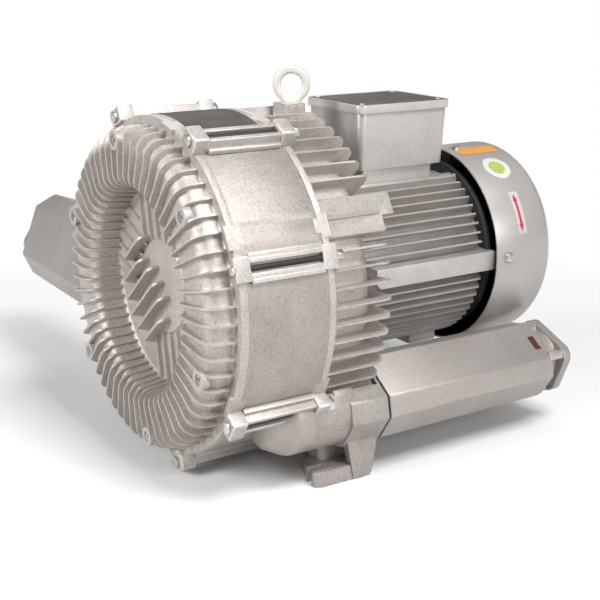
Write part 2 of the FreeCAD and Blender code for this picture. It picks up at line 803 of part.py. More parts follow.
def terminal_board():
    middle = box_front + box_length / 2
    z = box_floor + box_wall
    return along_z(rectangle(26, 62, middle - 48, middle + 48, 4), z, z + 16)


def terminal_studs():
    middle = box_front + box_length / 2
    z = box_floor + box_wall + 16
    studs = []
    for x in (35, 53):
        for step in (-32, 0, 32):
            base = FreeCAD.Vector(x, middle + step, z)
            studs.append(Part.makeCylinder(6, 4, base, axis_z).fuse(Part.makeCylinder(3, 16, base, axis_z)))
    return Part.makeCompound(studs)


def entry_fitting(y, shell):
    """Hexagon body with a thread that fills one entry of the box."""
    body = hexagon(36, -9, -0.5)
    body = body.fuse(rod(15.9, -0.5, 13))
    body.rotate(origin, axis_z, -90)
    body.translate(FreeCAD.Vector(entry_depth - box_half_width, y, box_floor + 45))
    return body.cut(shell)


def entry_shell():
    shell = tapered_block(
        box_half_width, box_front, box_front + box_length, box_floor, box_top, box_draft, 12)
    bores = [Part.makeCylinder(16, 60, FreeCAD.Vector(-box_half_width - 20, y, box_floor + 45), axis_x)
             for y in plug_stations()]
    return shell.cut(Part.makeCompound(bores))


def entry_plug():
    return entry_fitting(plug_stations()[0], entry_shell())


def cable_gland():
    """Gland with a domed nut, its bore sized for the motor cable."""
    y = plug_stations()[1]
    body = entry_fitting(y, entry_shell())
    nut = outline([
        (gland_bore, 9, 0), (20, 9, 2), (20, 22, 0), (14, 34, 6), (gland_bore, 34, 0)])
    nut = nut.revolve(origin, axis_y, 360)
    nut.rotate(origin, axis_z, 90)
    nut.translate(FreeCAD.Vector(entry_depth - box_half_width, y, box_floor + 45))
    gland = joined(body, [nut])
    hole = Part.makeCylinder(gland_bore, 60, FreeCAD.Vector(-box_half_width - 40, y, box_floor + 45), axis_x)
    return gland.cut(hole)


def eye_bolt():
    half = (eye_ring_outer - eye_ring_inner) / 2
    centre = FreeCAD.Vector(0, eye_y, eye_seat + eye_ring_outer - 0.5)
    eye = spun(rectangle(eye_ring_inner, eye_ring_outer, -half, half, half - 2))
    eye.translate(centre)
    collar = Part.makeCylinder(17, 7, FreeCAD.Vector(0, eye_y, eye_seat), axis_z)
    neck = Part.makeCone(14, 11, 6, FreeCAD.Vector(0, eye_y, eye_seat + 6), axis_z)
    thread = Part.makeCylinder(8, 24, FreeCAD.Vector(0, eye_y, eye_seat - 24), axis_z)
    clear = Part.makeCylinder(eye_ring_inner + 4, 40, centre - axis_y * 20, axis_y)
    bolt = joined(eye, [collar, neck.cut(clear), thread])
    bolt.rotate(centre, axis_z, eye_turn)
    return bolt


def tie_bolts():
    bolts = []
    for angle in tie_angles:
        x, z = polar(angle, tie_radius)
        head = hexagon(22, lug_front - 10, lug_front, x, z)
        bolts.append(head.fuse(rod(tie_bolt_radius, lug_front, drum_end + 34, x, z)))
    return Part.makeCompound(bolts)


def tie_nuts():
    nuts = []
    start = drum_end - lug_lap + lug_length
    for angle in tie_angles:
        x, z = polar(angle, tie_radius)
        nuts.append(hexagon(22, start, start + 11, x, z).cut(
            rod(tie_bolt_radius + fit_gap, start - 1, start + 12, x, z)))
    return Part.makeCompound(nuts)


def section(size, grow=0.0):
    """Corners of a silencer's section, a chamfered rectangle tilted about its centre."""
    scale, tilt = size
    w = section_half_width * scale + grow
    h = section_half_height * scale + grow
    c = section_chamfer * scale + grow * 0.4
    corners = [
        (w, h - c), (w - c, h), (c - w, h), (-w, h - c), (-w, c - h), (c - w, -h), (w - c, -h), (w, c - h)]
    return [(a, b, 7.0) for a, b in tilted(corners, tilt)]


def tilted(points, tilt):
    cos_t, sin_t = polar(tilt, 1)
    return [(a * cos_t - b * sin_t, a * sin_t + b * cos_t) for a, b in points]


def drafted(first, last, start, end):
    """Prism along Y that narrows from the first outline to the last one."""
    wires = []
    for corners, y in ((first, start), (last, end)):
        face = outline(corners)
        face.rotate(origin, axis_x, 90)
        face.translate(axis_y * y)
        wires.append(face.OuterWire)
    return Part.makeLoft(wires, True, True)


def housing_clearance():
    """Room that the manifolds leave for the round casing they are seated on."""
    drum_room = rod(casing_radius + seat_gap, -80, rear_start + 0.3)
    fin_room = rod(rear_fin_radius + seat_gap, rear_start, rear_fin_end + 1)
    lugs = [turned(along_y(rectangle(casing_radius - 9, lug_outer + 2, -lug_width / 2 - 1, lug_width / 2 + 1),
                           drum_end - 10, drum_end + lug_length + 8), a) for a in tie_angles]
    front_lugs = [turned(along_y(rectangle(casing_radius - 9, lug_outer + 2, -lug_width / 2 - 1,
                                           lug_width / 2 + 1), -20, 24), a) for a in tie_angles]
    rails = [turned(along_y(rectangle(casing_radius - 9, tie_radius + tie_bolt_radius + 3,
                                      -rail_offset - rail_width / 2 - 1, rail_offset + rail_width / 2 + 1),
                            0, drum_end), a) for a in tie_angles]
    return joined(drum_room, [fin_room] + lugs + front_lugs + rails)


def silencer_parts(name, root, tip):
    """Gasket, tube, foam, liner and end port along +Y from the joint face at y = 0."""
    start = gasket_thickness
    end = start + silencer_length
    wall = silencer_wall
    gasket = along_y(section(root, -2.5), 0, start).cut(rod(duct_bore + 1.5, -1, start + 1))
    tube = drafted(section(root), section(tip), start, end)
    hollow = drafted(section(root, -wall), section(tip, -wall), start + wall, end - wall)
    passage = rod(duct_bore + 0.2, start - 1, end + 1)
    tube = tube.cut(hollow).cut(passage)
    gap = wall + 0.3
    foam = drafted(section(root, -gap), section(tip, -gap), start + gap, end - gap)
    foam = foam.cut(passage)
    liner = ring(duct_bore, duct_bore - liner_wall, start, end)
    return {
        name + "_gasket": gasket,
        name + "_silencer": tube,
        name + "_foam": foam,
        name + "_liner": liner,
        name + "_end_port": end_port(end, tip),
    }


def end_port(start, size):
    """End casting: base plate, neck, four gusset lugs and the outer flange round the bore."""
    tilt = size[1]
    end = start + port_length
    base = along_y(section(size, -1.5), start, start + 6)
    neck = rod(port_bore + port_wall, start, end - port_flange + 1)
    corners = [(a, b, port_flange_round) for a, b in flange_points(tilt, 0)]
    flange = along_y(corners, end - port_flange, end)
    lugs = []
    for angle in (45, 135, 225, 315):
        turn = angle + tilt + 8
        x, z = polar(turn, port_lug_circle)
        lug = along_y(rectangle(-11, 11, -8, 8, 1.5), start, end - port_flange + 1)
        lug.rotate(origin, axis_y, -turn)
        lug.translate(FreeCAD.Vector(x, 0, z))
        lugs.append(lug)
    port = joined(base, [neck, flange] + lugs)
    bore = rod(port_bore, start - 1, end + 1)
    holes = [rod(5.5, end - port_flange - 1, end + 1, x, z) for x, z in flange_points(tilt, 13)]
    return port.cut(bore).cut(Part.makeCompound(holes))


def flange_points(tilt, inset):
    """Corners of the flange, or its hole centres when they are set in from the corners."""
    w = port_flange_width - inset
    h = port_flange_height - inset
    return tilted([(w, h), (-w, h), (-w, -h), (w, -h)], tilt + flange_twist)


def near_place(shape):
    shape.translate(FreeCAD.Vector(near_centre_x, near_joint_y, near_centre_z))
    return shape


def far_place(shape):
    """The far silencer is the same one, turned end for end and pointing away from the casing."""
    mirrored = shape.mirror(origin, axis_x)
    mirrored.rotate(origin, axis_z, 90)
    mirrored.translate(FreeCAD.Vector(far_joint_x, far_centre_y, far_centre_z))
    return mirrored


def foot_plate(back):
    """Foot with an open slot in front and a round hole behind."""
    plate = along_z([
        (foot_inner, foot_front + 26, 4), (foot_outer - 32, foot_front, 4),
        (foot_outer - 6, foot_front - 3, 3),
        (foot_outer, foot_front + 10, 3), (foot_outer, back, 4), (foot_inner, back, 6)],
        floor_z, floor_z + foot_thickness)
    round_end = Part.makeCylinder(slot_radius, 60, FreeCAD.Vector(slot_x, front_slot_y, floor_z - 5), axis_z)
    mouth = along_z(rectangle(
        slot_x - slot_radius, slot_x + slot_radius, foot_front - 20, front_slot_y), floor_z - 5, floor_z + 55)
    hole = Part.makeCylinder(slot_radius, 60, FreeCAD.Vector(slot_x, rear_hole_y, floor_z - 5), axis_z)
    seat_centre = FreeCAD.Vector(slot_x - 2, rear_hole_y, floor_z + foot_thickness)
    seat = Part.makeCylinder(15, 40, seat_centre, axis_z)
    return plate, Part.makeCompound([round_end.fuse(mouth), hole.fuse(seat)])


def near_manifold():
    """Foot manifold under the rear housing: duct, slanted gusset, wall and foot plate."""
    duct = near_place(along_y(section(near_root, -1.0), -72, 0))
    barrel = rod(dome_radius, dome_joint_y, near_joint_y - 60, near_centre_x, near_centre_z)
    saddle = along_y([
        (100, -270, 10), (228, -245, 12), (236, -150, 0), (170, -140, 0), (60, -250, 0)],
        rear_start + 12, near_joint_y - 14)
    wall = along_x([
        (232, floor_z + 4, 0), (foot_back, floor_z + 4, 0), (near_joint_y, -214, 6), (206, -180, 6)],
        foot_outer - foot_web, foot_outer)
    gusset = along_x([
        (232, floor_z + 4, 0), (256, floor_z + 4, 0), (222, -182, 0), (206, -180, 0)],
        foot_outer - foot_web, foot_outer + 3)
    column = along_z(rectangle(foot_inner + 4, slot_x - 18, foot_front + 30, foot_back - 2, 8),
                     floor_z + 4, near_centre_z)
    plate, slots = foot_plate(foot_back)
    body = joined(duct, [barrel, saddle, wall, gusset, column, plate])
    dome_room = rod(duct_bore + 6, dome_joint_y - 1, near_joint_y - 50, near_centre_x, near_centre_z)
    bore = rod(duct_bore, near_joint_y - 55, near_joint_y + 1, near_centre_x, near_centre_z)
    return biggest(body.cut(slots).cut(housing_clearance()).cut(dome_room).cut(bore))


def near_dome():
    """Round cap that closes the front of the manifold."""
    cap = outline([
        (0, -dome_depth, 0), (dome_radius * 0.66, -dome_depth * 0.92, 30),
        (dome_radius, -dome_depth * 0.4, 30),
        (dome_radius, 0, 0), (0, 0, 0)]).revolve(origin, axis_y, 360)
    core = outline([
        (0, dome_wall - dome_depth, 0), ((dome_radius - dome_wall) * 0.66, dome_wall - dome_depth * 0.92, 24),
        (dome_radius - dome_wall, -dome_depth * 0.4, 24), (dome_radius - dome_wall, 0, 0),
        (0, 0, 0)]).revolve(origin, axis_y, 360)
    cap = cap.cut(core)
    cap.translate(FreeCAD.Vector(near_centre_x, dome_joint_y, near_centre_z))
    return cap.cut(housing_clearance())


def far_manifold():
    """Foot manifold of the far side: an elbow on the flank of the casing and a slanted leg."""
    elbow = far_place(along_y(section(far_root, -1.0), -60, 0))
    plate, slots = foot_plate(far_foot_back)
    plate = plate.mirror(origin, axis_x)
    slots = slots.mirror(origin, axis_x)
    leg = along_x([
        (far_centre_y - 62, far_centre_z, 20), (far_centre_y + 62, far_centre_z, 20),
        (far_foot_back, floor_z + foot_thickness + 26, 10), (far_foot_back, floor_z + 2, 0),
        (foot_front + 20, floor_z + 2, 0), (far_centre_y - 40, far_centre_z - 110, 30)],
        -foot_outer - 50, -foot_outer + 8)
    toe = along_y(rectangle(-foot_outer - 30, -foot_outer + 12, floor_z, floor_z + foot_thickness, 4),
                  foot_front + 20, far_foot_back)
    body = joined(elbow, [leg, toe, plate])
    bore = far_place(rod(duct_bore, -60, 1))
    return biggest(body.cut(slots).cut(housing_clearance()).cut(bore))


def drain_screw():
    z = -motor_fin_radius - 9
    head = Part.makeCylinder(8, 5, FreeCAD.Vector(20, 522, z - 5.2), axis_z)
    shank = Part.makeCylinder(4.9, 16, FreeCAD.Vector(20, 522, z - 0.2), axis_z)
    return head.fuse(shank)


def build_all():
    nodes = {
        "front_cover": front_cover(),
        "cover_screws": cover_screws(),
        "drum": drum(),
        "rear_housing": rear_housing(),
        "first_impeller": impeller(first_rim_y),
        "second_impeller": impeller(first_rim_y + stage_pitch),
        "spacer_sleeve": spacer_sleeve(),
        "impeller_nut": impeller_nut(),
        "impeller_keys": impeller_keys(),
        "interstage_seal": interstage_seal(),
        "shaft_seal": shaft_seal(),
        "shaft": shaft(),
        "front_bearing_outer": bearing_outer_ring(front_bearing_y),
        "front_bearing_inner": bearing_inner_ring(front_bearing_y),
        "front_bearing_balls": bearing_cage(front_bearing_y),
        "rear_bearing_outer": bearing_outer_ring(rear_bearing_y),
        "rear_bearing_inner": bearing_inner_ring(rear_bearing_y),
        "rear_bearing_balls": bearing_cage(rear_bearing_y),
        "rotor_core": rotor_core(),
        "rotor_end_rings": rotor_end_rings(),
        "stator_core": stator_core(),
        "stator_windings": stator_windings(),
        "motor_frame": motor_frame(),
        "end_shield": end_shield(),
        "cooling_fan": cooling_fan(),
        "fan_clip": fan_clip(),
        "fan_cowl": fan_cowl(),
        "cowl_screws": cowl_screws(),
        "terminal_box": terminal_box(),
        "terminal_lid": terminal_lid(),
        "lid_panel": lid_panel(),
        "lid_screws": lid_screws(),
        "terminal_board": terminal_board(),
        "terminal_studs": terminal_studs(),
        "entry_plug": entry_plug(),
        "cable_gland": cable_gland(),
        "eye_bolt": eye_bolt(),
        "tie_bolts": tie_bolts(),
        "tie_nuts": tie_nuts(),
        "near_manifold": near_manifold(),
        "near_dome": near_dome(),
        "far_manifold": far_manifold(),
        "drain_screw": drain_screw(),
    }
    for node, shape in silencer_parts("near", near_root, near_tip).items():
        nodes[node] = near_place(shape)
    for node, shape in silencer_parts("far", far_root, far_tip).items():
        nodes[node] = far_place(shape)
    return nodes


os.makedirs("parts", exist_ok=True)
for node, shape in build_all().items():
    shape.translate(set_down)
    shape.exportStep("parts/" + node + ".step")
    print(node, len(shape.Solids), shape.isValid(), round(shape.Volume / 1000, 1))
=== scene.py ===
import json
import math
import bpy
from mathutils import Matrix, Vector


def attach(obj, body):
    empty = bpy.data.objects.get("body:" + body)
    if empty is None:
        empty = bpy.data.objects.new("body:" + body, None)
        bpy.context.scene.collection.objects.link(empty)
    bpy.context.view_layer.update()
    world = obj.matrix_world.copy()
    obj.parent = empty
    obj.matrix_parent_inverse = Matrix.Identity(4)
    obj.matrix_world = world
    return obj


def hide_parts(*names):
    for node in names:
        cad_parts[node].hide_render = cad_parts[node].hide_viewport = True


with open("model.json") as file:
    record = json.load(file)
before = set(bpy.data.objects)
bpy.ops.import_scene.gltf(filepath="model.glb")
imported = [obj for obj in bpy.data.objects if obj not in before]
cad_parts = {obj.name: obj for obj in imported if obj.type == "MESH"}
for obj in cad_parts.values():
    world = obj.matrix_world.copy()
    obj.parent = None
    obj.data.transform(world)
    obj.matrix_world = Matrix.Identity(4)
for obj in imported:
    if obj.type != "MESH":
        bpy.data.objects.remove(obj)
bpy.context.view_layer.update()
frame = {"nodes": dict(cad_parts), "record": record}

cadNodes = frame["nodes"]
bodyOf = {name: body for body, names in frame["record"]["behaviour"]["bodies"].items()
          for name in names}
slotOf = {entry["node"]: entry["material_slot"] for entry in frame["record"]["subparts"]}
shaftHeight = 0.31
print("frame loaded", len(cadNodes), "nodes")


# small helpers

smoothAngle = math.radians(32)  # flatter edges than this are shaded smooth
roundSides = 360  # sides of the large rounds


def deselectAll():
    if bpy.context.mode != "OBJECT":
        bpy.ops.object.mode_set(mode="OBJECT")
    bpy.ops.object.select_all(action="DESELECT")


def makeActive(piece):
    deselectAll()
    piece.select_set(True)
    bpy.context.view_layer.objects.active = piece


def applyPlace(piece):  # puts the place, turn and scale into the mesh
    makeActive(piece)
    bpy.ops.object.transform_apply(location=True, rotation=True, scale=True)


def applyModifiers(piece):
    makeActive(piece)
    for modifier in list(piece.modifiers):
        bpy.ops.object.modifier_apply(modifier=modifier.name)


def smoothCurves(piece):
    makeActive(piece)
    bpy.ops.object.shade_smooth_by_angle(angle=smoothAngle)


def softenEdges(piece, width, segments, **settings):
    bevel = piece.modifiers.new("softEdges", "BEVEL")
    bevel.width = width
    bevel.segments = segments
    for key, value in settings.items():
        setattr(bevel, key, value)
    applyModifiers(piece)


def cutWith(piece, cutter, operation):  # the cutter goes once it has cut
    cut = piece.modifiers.new("cut", "BOOLEAN")
    cut.operation = operation
    cut.object = cutter
    applyModifiers(piece)
    deselectAll()
    bpy.data.objects.remove(cutter)


def deleteFaces(piece, unwanted):  # the faces for which unwanted(face) holds
    makeActive(piece)
    bpy.ops.object.mode_set(mode="EDIT")
    bpy.ops.mesh.select_all(action="DESELECT")
    bpy.ops.mesh.select_mode(type="FACE")
    bpy.ops.object.mode_set(mode="OBJECT")
    for face in piece.data.polygons:
        face.select = unwanted(face)
    bpy.ops.object.mode_set(mode="EDIT")
    bpy.ops.mesh.delete(type="FACE")
    bpy.ops.object.mode_set(mode="OBJECT")


def faceAngle(face):  # degrees round the shaft, from +X towards +Z
    return math.degrees(math.atan2(face.center.z - shaftHeight, face.center.x))


def addRound(radius, length, middle, sides, ends="NGON"):  # a start that lies along Y
    deselectAll()
    bpy.ops.mesh.primitive_cylinder_add(vertices=sides, radius=radius, depth=length,
                                        location=middle, rotation=(math.radians(90), 0, 0),
                                        end_fill_type=ends)
    return bpy.context.active_object


def setMaterial(piece, material):
    piece.data.materials.clear()
    piece.data.materials.append(material)


# materials: each noise is given as scale, detail and roughness

noiseReach = (0.3, 0.7)  # nearly all of a noise lies between these


def newMaterial(name):
    material = bpy.data.materials.new(name)
    material.use_nodes = True
    tree = material.node_tree
    tree.nodes.clear()
    output = tree.nodes.new("ShaderNodeOutputMaterial")
    shader = tree.nodes.new("ShaderNodeBsdfPrincipled")
    tree.links.new(shader.outputs["BSDF"], output.inputs["Surface"])
    return material, tree, shader


def addNode(tree, kind, values=(), **settings):
    node = tree.nodes.new(kind)
    for key, value in settings.items():
        setattr(node, key, value)
    for key, value in dict(values).items():
        node.inputs[key].default_value = value
    return node


def objectPoint(tree):
    return addNode(tree, "ShaderNodeTexCoord").outputs["Object"]


def noiseAt(tree, point, scale, detail, roughness):
    node = addNode(tree, "ShaderNodeTexNoise",
                   {"Scale": scale, "Detail": detail, "Roughness": roughness})
    tree.links.new(point, node.inputs["Vector"])
    return node.outputs["Fac"]


def rampBetween(tree, factor, low, high, reach=noiseReach):
    node = addNode(tree, "ShaderNodeValToRGB")
    for element, place, colour in zip(node.color_ramp.elements, reach, (low, high)):
        element.position = place
        element.color = (*colour, 1)
    tree.links.new(factor, node.inputs["Fac"])
    return node.outputs["Color"]


def mixColours(tree, factor, first, second, blend="MIX"):
    node = addNode(tree, "ShaderNodeMix", data_type="RGBA", blend_type=blend)
    sockets = (node.inputs[0], node.inputs[6], node.inputs[7])  # factor and the two colours
    for socket, value in zip(sockets, (factor, first, second)):
        if isinstance(value, (int, float)):
            socket.default_value = value
        elif isinstance(value, tuple):
            socket.default_value = (*value, 1)
        else:
            tree.links.new(value, socket)
    return node.outputs[2]


def scaledValue(tree, value, low, high):
    node = addNode(tree, "ShaderNodeMapRange",
                   {"From Min": noiseReach[0], "From Max": noiseReach[1],
                    "To Min": low, "To Max": high})
    tree.links.new(value, node.inputs["Value"])
    return node.outputs["Result"]


def addBump(tree, shader, height, strength, distance, normal=None):
    node = addNode(tree, "ShaderNodeBump", {"Strength": strength, "Distance": distance})
    tree.links.new(height, node.inputs["Height"])
    if normal is not None:
        tree.links.new(normal, node.inputs["Normal"])
    tree.links.new(node.outputs["Normal"], shader.inputs["Normal"])
    return node.outputs["Normal"]


def toneAndGloss(tree, shader, tone, gloss, values):  # colour from one noise, gloss from another
    tree.links.new(rampBetween(tree, tone, values["dark"], values["light"]),
                   shader.inputs["Base Color"])
    tree.links.new(scaledValue(tree, gloss, values["gloss"], values["matt"]),
                   shader.inputs["Roughness"])


castPattern = {"clouds": (4.0, 0.6), "grain": (3.0, 0.7), "pits": (5.0, 0.75),
               "cloudReach": (0.32, 0.68), "grainReach": (0.38, 0.58), "pitReach": (0.36, 0.52),
               "grainDark": (0.70, 0.695, 0.69), "pitDark": (0.80, 0.79, 0.785),
               "bare": (1.0, 1.0, 1.0), "waveBump": 0.15}


def castMetal(name, values):  # cast aluminium: cloudy tone, pits, fine grain, soft gloss
    material, tree, shader = newMaterial(name)
    point = objectPoint(tree)
    clouds = noiseAt(tree, point, values["cloudScale"], *castPattern["clouds"])
    speckle = noiseAt(tree, point, values["grainScale"], *castPattern["grain"])
    pits = noiseAt(tree, point, values["pitScale"], *castPattern["pits"])
    bare = castPattern["bare"]
    base = rampBetween(tree, clouds, values["dark"], values["light"], castPattern["cloudReach"])
    grain = rampBetween(tree, speckle, castPattern["grainDark"], bare, castPattern["grainReach"])
    spots = rampBetween(tree, pits, castPattern["pitDark"], bare, castPattern["pitReach"])
    grained = mixColours(tree, values["grainTone"], base, grain, "MULTIPLY")
    pitted = mixColours(tree, values["grainTone"], grained, spots, "MULTIPLY")
    tree.links.new(pitted, shader.inputs["Base Color"])
    tree.links.new(scaledValue(tree, speckle, values["gloss"], values["matt"]),
                   shader.inputs["Roughness"])
    shader.inputs["Metallic"].default_value = values["metal"]
    waves = addBump(tree, shader, clouds, castPattern["waveBump"], values["waveHeight"])
    dents = addBump(tree, shader, pits, values["grainBump"], values["pitHeight"], waves)
    addBump(tree, shader, speckle, values["grainBump"], values["grainHeight"], dents)
    return material


castLook = {"cloudScale": 13.0, "grainScale": 520.0, "grainTone": 0.85,
            "dark": (0.60, 0.555, 0.525), "light": (0.70, 0.655, 0.625),
            "gloss": 0.34, "matt": 0.54, "metal": 0.5, "waveHeight": 0.0012,
            "grainBump": 0.75, "grainHeight": 0.0005, "pitScale": 170.0, "pitHeight": 0.0011}
dieCastLook = dict(castLook, cloudScale=18.0, grainScale=640.0, grainTone=0.5, pitHeight=0.0004,
                   dark=(0.555, 0.52, 0.495), light=(0.625, 0.59, 0.565),
                   gloss=0.32, matt=0.46, grainBump=0.35)
silencerLook = dict(castLook, cloudScale=9.0, grainScale=600.0, grainTone=0.55, pitHeight=0.0006,
                    dark=(0.475, 0.435, 0.41), light=(0.54, 0.50, 0.475),
                    gloss=0.36, matt=0.52, grainBump=0.40)
drumLook = dict(castLook, dark=(0.455, 0.415, 0.39), light=(0.545, 0.505, 0.48))
# lighter and glossier than castLook: rubbed metal with a painted highlight on the edges
rubbedHighlightLook = dict(castLook, dark=(0.70, 0.67, 0.64), light=(0.84, 0.81, 0.78),
                gloss=0.26, matt=0.38, grainTone=0.3)

paintPattern = {"clouds": (6.0, 3.0, 0.5), "peel": (420.0, 1.0, 0.4), "coat": 0.25,
                "coatRoughness": 0.35, "peelBump": 0.12, "peelHeight": 0.0002}


def paintedSheet(name, values):  # smooth stoved paint with a faint orange peel
    material, tree, shader = newMaterial(name)
    point = objectPoint(tree)
    clouds = noiseAt(tree, point, *paintPattern["clouds"])
    peel = noiseAt(tree, point, *paintPattern["peel"])
    toneAndGloss(tree, shader, clouds, peel, values)
    shader.inputs["Metallic"].default_value = values["metal"]
    shader.inputs["Coat Weight"].default_value = paintPattern["coat"]
    shader.inputs["Coat Roughness"].default_value = paintPattern["coatRoughness"]
    addBump(tree, shader, peel, paintPattern["peelBump"], paintPattern["peelHeight"])
    return material


cowlLook = {"dark": (0.47, 0.44, 0.42), "light": (0.53, 0.50, 0.48),
            "gloss": 0.32, "matt": 0.40, "metal": 0.4}
lidLook = {"dark": (0.54, 0.51, 0.485), "light": (0.62, 0.59, 0.565),
           "gloss": 0.30, "matt": 0.42, "metal": 0.3}
eyeLook = {"dark": (0.66, 0.635, 0.58), "light": (0.76, 0.735, 0.68),
           "gloss": 0.42, "matt": 0.58, "metal": 0.15}

steelPattern = {"stain": (60.0, 4.0, 0.6), "streaks": (1500.0, 2.0, 0.6), "metal": 0.9,
                "streakBump": 0.15, "streakHeight": 0.00015}


def turnedSteel(name, values):  # plated or bright metal with faint streaks and stains
    material, tree, shader = newMaterial(name)
    point = objectPoint(tree)
    stain = noiseAt(tree, point, *steelPattern["stain"])
    streaks = noiseAt(tree, point, *steelPattern["streaks"])
    toneAndGloss(tree, shader, stain, stain, values)
    shader.inputs["Metallic"].default_value = steelPattern["metal"]
    addBump(tree, shader, streaks, steelPattern["streakBump"], steelPattern["streakHeight"])
    return material


zincLook = {"dark": (0.50, 0.49, 0.46), "light": (0.70, 0.69, 0.66), "gloss": 0.28, "matt": 0.42}
brightLook = {"dark": (0.52, 0.52, 0.53), "light": (0.68, 0.68, 0.69), "gloss": 0.20, "matt": 0.34}
laminatedLook = {"dark": (0.20, 0.20, 0.21), "light": (0.34, 0.34, 0.35),
                 "gloss": 0.40, "matt": 0.55}
copperLook = {"dark": (0.42, 0.17, 0.07), "light": (0.66, 0.30, 0.14), "gloss": 0.30, "matt": 0.50}
brassLook = {"dark": (0.55, 0.40, 0.16), "light": (0.74, 0.58, 0.28), "gloss": 0.25, "matt": 0.40}

plasticPattern = {"clouds": (25.0, 3.0, 0.5), "grain": (2.0, 0.6), "grainHeight": 0.0003}


def mouldedPlastic(name, values):  # plastic, rubber or foam with its own grain size
    material, tree, shader = newMaterial(name)
    point = objectPoint(tree)
    clouds = noiseAt(tree, point, *plasticPattern["clouds"])
    grain = noiseAt(tree, point, values["grainScale"], *plasticPattern["grain"])
    toneAndGloss(tree, shader, clouds, grain, values)
    addBump(tree, shader, grain, values["grainBump"], plasticPattern["grainHeight"])
    return material


darkLidLook = {"dark": (0.060, 0.054, 0.048), "light": (0.095, 0.087, 0.079),
               "grainScale": 1300.0, "grainBump": 0.4, "gloss": 0.45, "matt": 0.62}
plasticLook = {"dark": (0.022, 0.022, 0.025), "light": (0.045, 0.045, 0.05),
               "grainScale": 900.0, "grainBump": 0.25, "gloss": 0.38, "matt": 0.55}
rubberLook = dict(plasticLook, dark=(0.015, 0.015, 0.015), light=(0.03, 0.03, 0.03),
                  gloss=0.6, matt=0.8)
boardLook = dict(plasticLook, dark=(0.12, 0.045, 0.02), light=(0.20, 0.08, 0.04))
foamLook = dict(plasticLook, dark=(0.05, 0.05, 0.052), light=(0.09, 0.09, 0.092),
                grainScale=350.0, grainBump=0.9, gloss=0.85, matt=0.95)
shadeLook = dict(plasticLook, dark=(0.02, 0.02, 0.02), light=(0.04, 0.039, 0.038),
                 gloss=0.55, matt=0.75)
plateLook = dict(shadeLook, dark=(0.050, 0.043, 0.038), light=(0.085, 0.075, 0.067),
                 gloss=0.62, matt=0.78)

finishes = {
    "cast_casing": castMetal("castCasing", castLook),
    "cast_motor": castMetal("castMotor", dieCastLook),
    "cast_silencer": castMetal("castSilencer", silencerLook),
    "impeller_alu": castMetal("impellerCasting", dieCastLook),
    "steel_bright": turnedSteel("brightSteel", brightLook),
    "steel_zinc": turnedSteel("zincSteel", zincLook),
    "steel_core": turnedSteel("laminations", laminatedLook),
    "copper": turnedSteel("varnishedWire", copperLook),
    "seal_rubber": mouldedPlastic("sealRubber", rubberLook),
    "cowl_sheet": paintedSheet("cowlPaint", cowlLook),
    "lid_paint": paintedSheet("lidPaint", lidLook),
    "lid_dark": mouldedPlastic("darkInsert", darkLidLook),
    "plastic_dark": mouldedPlastic("darkPlastic", plasticLook),
    "board_plastic": mouldedPlastic("boardPlastic", boardLook),
    "brass_stud": turnedSteel("studBrass", brassLook),
    "foam": mouldedPlastic("foamBlock", foamLook),
}
duskyCast = castMetal("drumCasting", drumLook)
ownFinishes = {  # nodes that look different from the rest of their slot
    "drum": duskyCast,
    "near_manifold": duskyCast,
    "far_manifold": duskyCast,
    "eye_bolt": paintedSheet("eyeCoating", eyeLook),
    # painted shade: the end shield is near black, as the shadow in the gap inside the cowl
    "end_shield": mouldedPlastic("shieldPaintedShade", shadeLook),
}
# painted shade: near black for the cowl's inside, the tie rods in their grooves and the disc
# behind the grille
paintedShadeFinish = mouldedPlastic("insideShade", shadeLook)
rubbedEdgeHighlight = castMetal("rubbedEdgeHighlight", rubbedHighlightLook)  # rubbed edges of the castings, lighter as a painted highlight
rubbedHighlightNodes = ("front_cover", "rear_housing", "drum", "motor_frame", "near_manifold",
             "far_manifold")
print("finishes made", len(finishes), "and for single nodes", len(ownFinishes))


# the CAD nodes: those in edgeRounding get rounded edges on a merged copy, the rest a finish

edgeRounding = {  # bevel width in millimetres
    "front_cover": 1.3, "rear_housing": 1.3, "drum": 1.5, "near_manifold": 2.0,
    "far_manifold": 2.0, "motor_frame": 0.8, "end_shield": 0.8, "fan_cowl": 0.5,
    "terminal_box": 1.2, "terminal_lid": 1.6, "lid_panel": 0.3, "near_silencer": 1.2,
    "far_silencer": 1.5, "near_end_port": 1.5, "far_end_port": 1.5, "near_dome": 1.0,
    "cover_screws": 0.6, "cowl_screws": 0.5, "eye_bolt": 0.8, "lid_screws": 0.3,
    "near_gasket": 0.3, "far_gasket": 0.3, "drain_screw": 0.4, "entry_plug": 0.6,
    "cable_gland": 0.6,
}
copyValues = {"mergeDistance": 0.00002, "flatAngle": 0.6, "sharpAngle": 38, "segments": 2}


